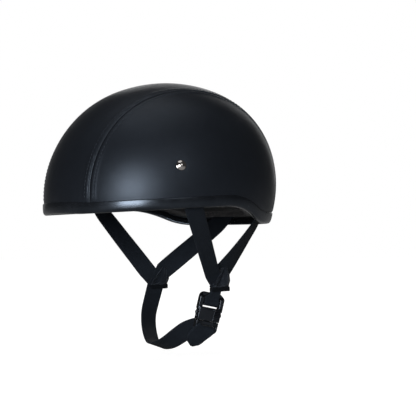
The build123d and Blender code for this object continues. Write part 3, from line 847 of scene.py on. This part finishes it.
def frontRoute():
    seat, leave = frontStrap["seat"], frontStrap["leave"]
    slope = Vector((leave[0] - seat[0], leave[1] - seat[1])).normalized()
    top = (seat[0] - slope.x * strap["tab"], seat[1] - slope.y * strap["tab"])
    points = []
    for k in range(9):
        t = k / 8
        y, z = top[0] + (leave[0] - top[0]) * t, top[1] + (leave[1] - top[1]) * t
        depth = strap["seatDepth"] + (strap["exitDepth"] - strap["seatDepth"]) * blendStep(0.3, 1, t)
        points.append(sidePoint(y, z, depth))
    facings = [outAt(p) for p in points]
    meet, exitPoint = meetAt("front", strap["layer"]), points[-1]
    points += [exitPoint.lerp(meet, t) for t in (0.2, 0.5, 0.8)] + [meet, fallPast(meet, exitPoint)]
    facings += [facings[-1].lerp(fold["z"], t) for t in (0.25, 0.55, 0.85)] + [fold["z"]] * 2
    return points, facings


def rearRoute():
    top, leave = Vector(rearStrap["top"]), Vector(rearStrap["leave"])
    points = [backPoint(*top.lerp(leave, k / 5), strap["seatDepth"]) for k in range(6)]
    facings = [outAt(rivetSpots[2])] * 6
    points += [Vector(p) for p in rearStrap["points"]]
    facings += [Vector(f) for f in rearStrap["facings"]]
    meet = meetAt("rear", -strap["layer"])
    points += [meet, fallPast(meet, points[-1])]
    facings += [fold["z"]] * 2
    return points, facings


# Webbing with soft ridged selvedges, which waves a little where it hangs free
def makeStrap(points, facings, width, waves=0.0, roundEnd=0.0, gather=None, step=strap["step"]):
    stations = smoothRoute(points, facings, step)
    outline = roundedOutline(width, strap["thickness"], 12, 3)
    edge = width / 2 - 3
    outline = [(a, b * (1 + strap["selvedge"] * blendStep(edge, edge + 2, abs(a)))) for a, b in outline]
    total = len(stations) - 1
    for n, s in enumerate(stations):
        t = n / total
        s["point"] = s["point"] + s["out"] * waves * noise.noise(s["point"] * 0.03) * math.sin(math.pi * t)
        left = (1 - t) * total * step
        if roundEnd and left < roundEnd:
            s["wide"] = math.sqrt(max(0.02, 1 - (1 - left / roundEnd) ** 2))
        if gather:
            inward, taken = gather(s["point"])
            s["wide"] = 1 - taken / width
            s["point"] = s["point"] + s["across"] * math.copysign(taken / 2, s["across"].dot(inward))
    return tubeAlong(stations, outline)


def gatherAtFold(kind):
    start, rate = gathers[kind]
    return lambda spot: (fold["x"], max(0.0, (start - (spot - fold["origin"]).dot(fold["y"])) * rate))


for side, word in sides:
    for route, name in ((frontRoute, "front"), (rearRoute, "rear")):
        bm = makeStrap(*route(), strap["width"], strap["waves"], gather=gatherAtFold(name))
        if side < 0:
            mirrorAll(bm)
        finishPiece(bm, name + "Strap." + word, webbing, stands=[name + "_strap_" + word])
print("side straps done")


# The chin strap runs from behind the plug, under the chin, to the fold on the right
chin = {"points": [(46.0, 12.5, -125.0), (33.0, 6.5, -133.6), (17.0, 0.5, -144.0), (0.0, -4.0, -148.1),
                   (-17.0, 0.5, -144.0), (-33.0, 6.5, -135.1), (-46.0, 12.0, -125.7), (-57.0, 18.3, -112.9),
                   (-64.5, 26.5, -99.5)],
        "facings": [(0.55, -0.7, -0.4), (0.56, -0.65, -0.49), (0.44, -0.45, -0.76), (0.0, -0.3, -0.95),
                    (-0.3, -0.35, -0.88), (-0.6, -0.25, -0.75), (-0.8, -0.2, -0.5), (-0.93, -0.15, -0.3),
                    (-0.98, -0.05, -0.15)],
        "startFacing": (0.8, -0.45, -0.4), "slotAt": -35.4, "behind": -8.2, "bendFrom": 3, "bendTo": 0}


def flipped(v):
    return Vector((-v[0], v[1], v[2]))


chinRoute = [Vector(p) for p in chin["points"]]
chinPoints = [placed(buckle, (0, chin["slotAt"], chin["behind"]))] + chinRoute + \
    [flipped(placed(fold, (0, strap["reach"], 0)))]
chinFacings = [Vector(f) for f in [chin["startFacing"]] + chin["facings"]] + [flipped(fold["z"])]
chinStrap = finishPiece(makeStrap(chinPoints, chinFacings, strap["width"]), "chinStrap", webbing,
                        body=None, stands=["chin_strap"])
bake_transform(chinStrap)

# Its end comes forward through the plug's slot and hangs loose
tail = {"points": [(0, -35.4, -5.0), (0, -35.4, 0.5), (0, -35.6, 4.4), (-1.5, -38.4, 4.7), (-6, -42.6, 4.8),
                   (-10.5, -48.0, 4.2), (-12, -59.0, 1.2)],
        "facings": [(0, 1, 0)] * 2 + [(0, 0.7, 0.7)] + [(0, 0, 1)] * 4, "roundEnd": 9.0}
tailPoints = [placed(buckle, p) for p in tail["points"]]
tailFacings = [turned(buckle, f) for f in tail["facings"]]
finishPiece(makeStrap(tailPoints, tailFacings, strap["width"], 0, tail["roundEnd"]), "strapTail", webbing,
            body="plug", stands=["strap_tail"])

# Webbing that goes round the socket's bar and up into the fold
loop = {"width": 18.0, "barAt": -9.8, "radius": 2.95, "flap": 0.86, "top": 5.6, "step": 0.8,
        "gatherAt": -4.5, "gatherRate": 1.4, "gatherMost": 5.6}
loopPoints = [(0, loop["top"], loop["flap"]), (0, -3.0, loop["flap"]), (0, -5.4, 1.1)]
loopFacings = [(0, 0, 1)] * 3
for k in range(9):
    turn = math.radians(60 - 300 * k / 8)
    loopPoints.append((0, loop["barAt"] + loop["radius"] * math.sin(turn), loop["radius"] * math.cos(turn)))
    loopFacings.append((0, math.sin(turn), math.cos(turn)))
loopPoints += [(0, -5.4, -1.1), (0, -3.0, -loop["flap"]), (0, loop["top"], -loop["flap"])]
loopFacings += [(0, 0, -1)] * 3


def gatherAtHem(spot):
    over = (spot - buckle["origin"]).dot(buckle["y"]) - loop["gatherAt"]
    return buckle["x"], min(loop["gatherMost"], max(0.0, over * loop["gatherRate"]))


bm = makeStrap([placed(buckle, p) for p in loopPoints], [turned(buckle, f) for f in loopFacings],
               loop["width"], gather=gatherAtHem, step=loop["step"])
finishPiece(bm, "buckleLoop", webbing, stands=["buckle_loop"])
print("chin strap, tail and loop done")


# The satin folds where the straps meet, each with a straight hem band

# left and right are the edges' places across, at shares of the way from the hem to the top
foldShape = {"hemWidth": 24.2, "hemAt": 2.2, "hemLength": 5.5, "length": 25.6, "half": 2.7, "overlap": 0.6,
             "left": [(0.0, -9.8), (0.5, -1.8), (1.0, 6.2)],
             "right": [(0.0, 14.0), (0.08, 14.6), (0.3, 16.6), (0.62, 16.2), (1.0, 13.4)]}
# Pleats run slantwise from the hem to the top: (share across at the hem, at the top, width, height)
pleats = [(-0.8, -0.7, 0.14, 1.7), (0.55, 0.2, 0.22, 2.1), (-0.32, -0.32, 0.22, -1.6),
          (0.05, -0.1, 0.1, 0.5), (0.95, 0.72, 0.12, -0.7)]
hemShape = {"heights": [-0.1, 0.1, 0.5, 1.4, 2.5, 3.6, 4.5, 4.9, 5.1], "spareWidth": 0.2, "spareHalf": 0.45,
            "bulge": [0.96, 0.985, 1.0, 1.012, 1.015, 1.012, 1.0, 0.985, 0.96]}


def alongEdge(points, t):
    for (a, low), (b, high) in zip(points, points[1:]):
        if t <= b:
            return low + (high - low) * (t - a) / (b - a)
    return points[-1][1]


def makeFold():
    around, rows = 72, 34
    ring = softOval(around, 1, 1, 0.5, 0.55)
    start = foldShape["hemLength"] - foldShape["overlap"]

    def place(i, j):
        t = j / rows
        left, right = alongEdge(foldShape["left"], t), alongEdge(foldShape["right"], t)
        x, z = ring[i % around]
        swell = sum(rise * math.exp(-((x - low - (high - low) * t) / width) ** 2)
                    for low, high, width, rise in pleats)
        swell *= blendStep(0, 0.15, t) * (1 - 0.4 * blendStep(0.75, 1, t))
        thick = foldShape["half"] + (0.5 + 1.15 * swell) * abs(z)
        height = start + (foldShape["length"] - start) * t
        return Vector(((left + right) / 2 + x * (right - left) / 2, height, z * thick))

    bm = closeUp(shapedGrid(around, rows, place, lambda i, j: (i * 0.9, j * 0.6)))
    placeAll(bm, fold)
    return bm


def makeHem():
    outline = softOval(56, foldShape["hemWidth"] / 2 + hemShape["spareWidth"],
                       foldShape["half"] + hemShape["spareHalf"], 0.28, 0.35)
    stations = [{"point": placed(fold, (foldShape["hemAt"], h, 0)), "across": fold["x"], "out": fold["z"],
                 "wide": b, "thick": b} for h, b in zip(hemShape["heights"], hemShape["bulge"])]
    return tubeAlong(stations, outline)


for side, word in sides:
    for make, name, cloth in ((makeFold, "strapFold.", satin), (makeHem, "hemBand.", hemTape)):
        bm = make()
        if side < 0:
            mirrorAll(bm)
        finishPiece(bm, name + word, cloth, stands=["strap_fold_" + word])
print("folds done")


# The side release buckle

socketShape = {"half": 13.5, "rail": 12.4, "railHalf": 2.6, "thick": 3.2, "corner": 3.4, "frameTop": -1.2,
               "top": -14.8, "bottom": -29.3, "body": 4.2, "roof": 2.4, "cavity": 2.0, "wall": 1.8,
               "windowTop": -18.0, "windowBottom": -26.6, "barAt": -9.8, "bar": 1.8, "swell": 0.75}
ribs = {"count": 7, "top": -16.9, "pitch": 1.75, "half": 0.5, "from": 4.4, "to": 12.6, "rise": 0.95}
flatFrame = dict(zip(("origin", "x", "y", "z"), (Vector(), *Matrix.Identity(3))))
mouldVoxel = 0.3


def addBlock(bm, low, high, edge, segments=2):
    made = bmesh.ops.create_cube(bm, size=1)
    size = Matrix.Diagonal([high[i] - low[i] for i in range(3)] + [1])
    middle = Matrix.Translation([(high[i] + low[i]) / 2 for i in range(3)])
    bmesh.ops.transform(bm, matrix=middle @ size, verts=made["verts"])
    edges = list({e for v in made["verts"] for e in v.link_edges})
    bmesh.ops.bevel(bm, geom=edges, offset=edge, affect="EDGES", segments=segments, profile=0.5,
                    material=-1)


# Joins overlapping forms into one moulded piece with soft inner corners
def moulded(bm, local):
    mesh = bpy.data.meshes.new("form")
    bm.to_mesh(mesh)
    bm.free()
    form = bpy.data.objects.new("form", mesh)
    bpy.context.scene.collection.objects.link(form)
    remesh = form.modifiers.new("join", "REMESH")
    remesh.mode = "VOXEL"
    remesh.voxel_size = mouldVoxel
    soften = form.modifiers.new("soften", "SMOOTH")
    soften.iterations = 5
    soften.factor = 0.5
    bpy.context.view_layer.update()
    solid = bmesh.new()
    solid.from_object(form, bpy.context.evaluated_depsgraph_get())
    bpy.data.objects.remove(form)
    bpy.data.meshes.remove(mesh)
    placeAll(solid, local)
    return solid


# A U with round corners, open at one height, with the stations of a tube along it
def roundedU(half, openAt, turnAt, corner, steps):
    way = math.copysign(corner, turnAt - openAt)
    turns = [math.pi / 2 * k / steps for k in range(steps + 1)]
    path = [(-half, openAt), (-half, turnAt - way)]
    path += [(-half + corner - corner * math.cos(a), turnAt - way + way * math.sin(a)) for a in turns[1:]]
    path += [(half - corner + corner * math.sin(a), turnAt - way + way * math.cos(a)) for a in turns]
    path += [(half, openAt)]
    stations = []
    for n, (x, y) in enumerate(path):
        before, after = path[max(0, n - 1)], path[min(len(path) - 1, n + 1)]
        run = Vector((after[0] - before[0], after[1] - before[1], 0)).normalized()
        across = Vector((run.y, -run.x, 0))
        stations.append({"point": Vector((x, y, 0)), "across": across, "out": Vector((0, 0, 1))})
    return stations


def makeSocket():
    s = socketShape
    bm = bmesh.new()
    # The frame: two rails and a thinner top strut behind the webbing
    stations = roundedU(s["rail"], s["windowTop"], s["frameTop"], s["corner"], 6)
    for station in stations:
        station["thick"] = 1 - 0.7 * blendStep(-4.2, -1.6, station["point"].y)
        station["point"].z = -s["thick"] * (1 - station["thick"])
    addCopy(bm, tubeAlong(stations, softOval(28, s["railHalf"], s["thick"], 0.45, 0.3)))
    barEnds = [{"point": Vector((x, s["barAt"], 0)), "across": Vector((0, 1, 0)), "out": Vector((0, 0, 1))}
               for x in (-s["rail"], 0, s["rail"])]
    addCopy(bm, tubeAlong(barEnds, softOval(20, s["bar"], s["bar"], 1, 1)))
    # A thin web closes the frame's top behind the webbing
    addBlock(bm, (-s["rail"], -5.4, -3.2), (s["rail"], -1.8, -2.4), 0.3)
    # The body: front and back plates, roof and side walls round the cavity
    half, body, cavity, wall = s["half"], s["body"], s["cavity"], s["wall"]
    addBlock(bm, (-half, s["bottom"], cavity), (half, s["top"], body), 0.8, 3)
    addBlock(bm, (-half, s["bottom"], -body), (half, s["top"], -cavity), 0.8, 3)
    addBlock(bm, (-half + 0.2, s["top"] - s["roof"], -body + 0.5), (half - 0.2, s["top"], body - 0.5), 0.5)
    for side in (-1, 1):
        edges = sorted((side * (half - wall), side * half))
        addBlock(bm, (edges[0], s["windowTop"], -body + 0.4), (edges[1], s["top"] - 0.2, body - 0.4), 0.4)
        addBlock(bm, (edges[0], s["bottom"], -body + 0.4), (edges[1], s["windowBottom"], body - 0.4), 0.4)
    # Grip ribs down the rear half of the face
    for k in range(ribs["count"]):
        y = ribs["top"] - ribs["pitch"] * k
        addBlock(bm, (ribs["from"], y - ribs["half"], body - 0.4),
                 (ribs["to"], y + ribs["half"], body + ribs["rise"]), 0.35)
    solid = moulded(bm, flatFrame)
    # The face swells between its edges
    middle, reach = (s["top"] + s["bottom"]) / 2, (s["top"] - s["bottom"]) / 2
    for v in solid.verts:
        x, y, z = v.co
        if abs(y - middle) < reach + 0.1 and abs(z) > 3.3:
            crown = (1 - (x / half) ** 2) * (1 - ((y - middle) / reach) ** 2)
            v.co.z += math.copysign(s["swell"] * max(0, crown), z) * blendStep(3.3, 4.0, abs(z))
    placeAll(solid, buckle)
    return solid


plugShape = {"half": 13.5, "top": -29.6, "bottom": -42.6, "thick": 3.4, "corner": 5.0, "rim": 1.35,
             "slots": (-35.4, -39.8), "slotHeight": 2.4, "tongue": 3.0, "tongueTop": -17.5, "arm": 1.7,
             "ribAt": 9.2, "ribHalf": 3.2, "ribPitch": 1.4}


def makePlug():
    p = plugShape
    bm = bmesh.new()
    # A thick rim with round lower corners
    rim = p["rim"]
    stations = roundedU(p["half"] - rim, p["top"] - 0.4, p["bottom"] + rim, p["corner"] - rim, 5)
    addCopy(bm, tubeAlong(stations, softOval(24, rim, p["thick"], 0.5, 0.4)))
    firstTop = p["slots"][0] + p["slotHeight"] / 2
    addBlock(bm, (-p["half"], firstTop, -p["thick"]), (p["half"], p["top"], p["thick"]), 0.7, 3)
    between = (p["slots"][0] - p["slotHeight"] / 2, p["slots"][1] + p["slotHeight"] / 2)
    crossHalf, crossThick = p["half"] - 1, p["thick"] - 0.6
    addBlock(bm, (-crossHalf, between[1], -crossThick), (crossHalf, between[0], crossThick), 0.5)
    addBlock(bm, (-p["tongue"], p["top"] - 0.5, -p["arm"]), (p["tongue"], p["tongueTop"], p["arm"]), 0.6)
    for side in (-1, 1):
        for k in range(3):
            x, y = side * p["ribAt"], p["top"] - 1.2 - p["ribPitch"] * k
            addBlock(bm, (x - p["ribHalf"], y - 0.4, p["thick"] - 0.3),
                     (x + p["ribHalf"], y + 0.4, p["thick"] + 0.4), 0.3)
    return moulded(bm, buckle)


armShape = {"points": [(10.1, -32.7), (10.1, -29.8), (10.2, -26.9), (12.0, -24.9), (14.0, -22.9),
                       (14.5, -20.7), (13.2, -18.5)],
            "widths": [1.3, 1.25, 1.2, 1.3, 1.45, 1.3, 0.7], "thick": 1.7, "step": 0.5}


def makeArm(side):
    widths = armShape["widths"]
    points = [placed(buckle, (side * x, y, 0)) for x, y in armShape["points"]]
    stations = smoothRoute(points, [buckle["z"]] * len(points), armShape["step"])
    for n, s in enumerate(stations):
        at = n / (len(stations) - 1) * (len(widths) - 1)
        low = min(int(at), len(widths) - 2)
        s["wide"] = widths[low] + (widths[low + 1] - widths[low]) * (at - low)
    return tubeAlong(stations, softOval(24, 1, armShape["thick"], 0.6, 0.4))


for bm, name, node, body in ((makeSocket(), "buckleSocket", "buckle_socket", "root"),
                             (makePlug(), "bucklePlug", "buckle_plug", "plug"),
                             (makeArm(1), "rearArm", "rear_arm", "rear_arm"),
                             (makeArm(-1), "frontArm", "front_arm", "front_arm")):
    finishPiece(bm, name, glossPlastic, body=body, stands=[node])
print("buckle done")


# Lining and comfort pads

lining = {"cells": 120, "depth": 26.85, "thickness": 0.9, "above": 8.7, "quilt": 0.33, "pitch": 22.0,
          "cut": (0.26, 0.3)}


# Diamond quilting: puffed between crossing lines of thread
def quiltRise(spot):
    pitch = lining["pitch"]
    around = math.atan2(spot.x, -spot.y) * 90
    a = abs(math.sin(math.pi * (around + spot.z) / pitch))
    b = abs(math.sin(math.pi * (around - spot.z) / pitch))
    return lining["quilt"] * (min(a, b) ** 0.5)


liningCap = domeCap(lining["cells"], lining["above"], lambda spot: lining["depth"] + quiltRise(spot))
liner = finishPiece(turnOutwards(liningCap), "clothLining", liningCloth, stands=["cloth_lining"])
giveThickness(liner, lining["thickness"])

pads = {"outer": 28.1, "thickness": 5.0, "corner": 10.0, "edge": 1.1, "step": 2.0, "channelWidth": 2.2}
padPlaces = {
    "browPad": {"node": "brow_pad", "half": (59, 13), "middle": (0, -1, 30), "channel": 20},
    "napePad": {"node": "nape_pad", "half": (48, 14), "middle": (0, 1, 22), "channel": 16},
    "sidePad.left": {"node": "side_pad_left", "half": (46, 20), "middle": (1, 8, 42), "channel": 15},
    "sidePad.right": {"node": "side_pad_right", "half": (46, 20), "middle": (-1, 8, 42), "channel": 15},
    "crownPad": {"node": "crown_pad", "half": (42, 55), "middle": (0, 11.8, 0), "channel": 18},
}


# Where a flat point of a pad's outline lies on the dome at a depth
def padPoint(kind, a, b, depth):
    sx, sy, sz = kind["middle"]
    if kind["node"] == "crown_pad":
        y, z = sy + b, 120.0
        for _ in range(12):
            reach = math.hypot(a / narrowAt(depth), y - domeShape["lean"] * z)
            z = crownCentre + math.sqrt((domeShape["crownRadius"] - depth) ** 2 - reach ** 2)
        return Vector((a, y, z))
    z = sz + b
    if kind["node"] in ("brow_pad", "nape_pad"):
        spot = backPoint(a, z, depth)
        if sy < 0:
            spot.y = 2 * domeShape["lean"] * z - spot.y
        return spot
    spot = sidePoint(sy + a, z, depth)
    return Vector((sx * spot.x, spot.y, spot.z))


def makePad(kind):
    halfA, halfB = kind["half"]
    columns, rows = round(2 * halfA / pads["step"]), round(2 * halfB / pads["step"])
    corner = pads["corner"] / min(halfA, halfB)

    def flat(i, j):
        u, v = 2 * i / columns - 1, 2 * j / rows - 1
        square = 1 - 0.07 * corner * (u * u) * (v * v) * 4
        return u * halfA * square, v * halfB * square, u, v

    def rise(u, v, a):
        edge = ((1 - abs(u) ** 6) * (1 - abs(v) ** 4)) ** 0.5
        dip = sum(math.exp(-((a - side * kind["channel"]) / pads["channelWidth"]) ** 2) for side in (-1, 1))
        return pads["edge"] + (pads["thickness"] - pads["edge"]) * edge * (1 - 0.5 * dip)

    def inner(i, j):
        a, b, u, v = flat(i, j)
        return padPoint(kind, a, b, pads["outer"] + rise(u, v, a))

    def outer(i, j):
        a, b, u, v = flat(i, j)
        return padPoint(kind, a, b, pads["outer"] + 0.15 * (abs(u) ** 6 + abs(v) ** 6))

    bm = shapedGrid(columns, rows, inner)
    addCopy(bm, shapedGrid(columns, rows, outer))
    bmesh.ops.bridge_loops(bm, edges=[e for e in bm.edges if e.is_boundary])
    bmesh.ops.recalc_face_normals(bm, faces=bm.faces)
    return bm


for name, kind in padPlaces.items():
    pad = finishPiece(makePad(kind), name, padCloth, stands=[kind["node"]])
    smoother = pad.modifiers.new("rounding", "SUBSURF")
    smoother.levels = smoother.render_levels = 1
print("lining and pads done")


# CAD nodes that stay

for node, material in (("outer_shell", shellPlastic), ("foam_liner", foam), ("front_washers", washerSteel),
                       ("rear_washers", washerSteel)):
    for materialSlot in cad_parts[node].material_slots:
        materialSlot.material = material

# Studio

studio = {"floorAt": -0.16, "floorHalf": 12.0, "cameraAt": (1.299, -0.75096, -0.04),
          "aimAt": (0.0275, 0.04654, 0.0061), "lens": 116.3, "sensor": 36.0, "ambient": 0.3,
          "mirroredFloor": 0.07, "farSide": (-0.866, 0.5, 0.0), "lampAim": (0, 0, 0.02)}
bm = bmesh.new()
bmesh.ops.create_grid(bm, x_segments=2, y_segments=2, size=studio["floorHalf"])
floorMesh = bpy.data.meshes.new("floor")
bm.to_mesh(floorMesh)
bm.free()
floor = bpy.data.objects.new("floor", floorMesh)
floor.location = (0, 0, studio["floorAt"])
bpy.context.scene.collection.objects.link(floor)
material, tree, shader = newMaterial("paleFloor")
setValues(shader, Base_Color=(0.3, 0.3, 0.3, 1), Roughness=0.9, Specular_IOR_Level=0.1,
          Emission_Color=(1, 1, 1, 1))
path = tree.nodes.new("ShaderNodeLightPath")
mirrored = math2(tree, "MAXIMUM", path.outputs["Is Glossy Ray"], path.outputs["Is Transmission Ray"])
mirroredLight = math2(tree, "MULTIPLY", mirrored, studio["mirroredFloor"])
away = tree.nodes.new("ShaderNodeVectorMath")
away.operation = "LENGTH"
feed(tree, coordinates(tree), away.inputs[0])
pale = spread(tree, away.outputs["Value"], 0.4, 1.6, 0.88, 1.0)
seenLight = math2(tree, "MULTIPLY", path.outputs["Is Camera Ray"], pale)
feed(tree, math2(tree, "MAXIMUM", seenLight, mirroredLight), shader.inputs["Emission Strength"])
floorMesh.materials.append(material)

world = bpy.data.worlds.new("studio")
world.use_nodes = True
bpy.context.scene.world = world
tree = world.node_tree
path = tree.nodes.new("ShaderNodeLightPath")
seen = math2(tree, "MAXIMUM", path.outputs["Is Glossy Ray"], path.outputs["Is Transmission Ray"])
direction = tree.nodes.new("ShaderNodeVectorMath")
direction.operation = "DOT_PRODUCT"
feed(tree, coordinates(tree, "Generated"), direction.inputs[0])
direction.inputs[1].default_value = studio["farSide"]
behind = spread(tree, direction.outputs["Value"], 0.8, 1.0, 0.05, 0.5)
unseen = math2(tree, "MULTIPLY", math2(tree, "SUBTRACT", 1.0, seen), studio["ambient"])
strength = math2(tree, "MAXIMUM", math2(tree, "MULTIPLY", seen, behind), unseen)
strength = math2(tree, "MAXIMUM", path.outputs["Is Camera Ray"], strength)
feed(tree, strength, tree.nodes["Background"].inputs["Strength"])
setValues(tree.nodes["Background"], Color=(1, 1, 1, 1))

lamps = {"key": {"at": (1.42, -1.3, 0.2), "size": 0.7, "power": 38.0},
         "fill": {"at": (1.9, -0.1, 0.9), "size": 0.8, "power": 3.0},
         "back": {"at": (-1.5, 1.2, 0.7), "size": 1.2, "power": 5.0},
         "top": {"at": (0.1, -0.2, 2.0), "size": 1.6, "power": 7.0}}


def aimed(holder, at, towards):
    holder.location = at
    holder.rotation_euler = (Vector(towards) - holder.location).to_track_quat("-Z", "Y").to_euler()
    bpy.context.scene.collection.objects.link(holder)


for name, lamp in lamps.items():
    data = bpy.data.lights.new(name + "Lamp", "AREA")
    data.shape = "SQUARE"
    data.size = lamp["size"]
    data.energy = lamp["power"]
    aimed(bpy.data.objects.new(name + "Lamp", data), lamp["at"], studio["lampAim"])

cameraData = bpy.data.cameras.new("camera")
cameraData.lens = studio["lens"]
cameraData.sensor_width = studio["sensor"]
camera = bpy.data.objects.new("camera", cameraData)
aimed(camera, studio["cameraAt"], studio["aimAt"])
bpy.context.scene.camera = camera
bpy.context.scene.view_settings.view_transform = "Standard"
print("studio done")
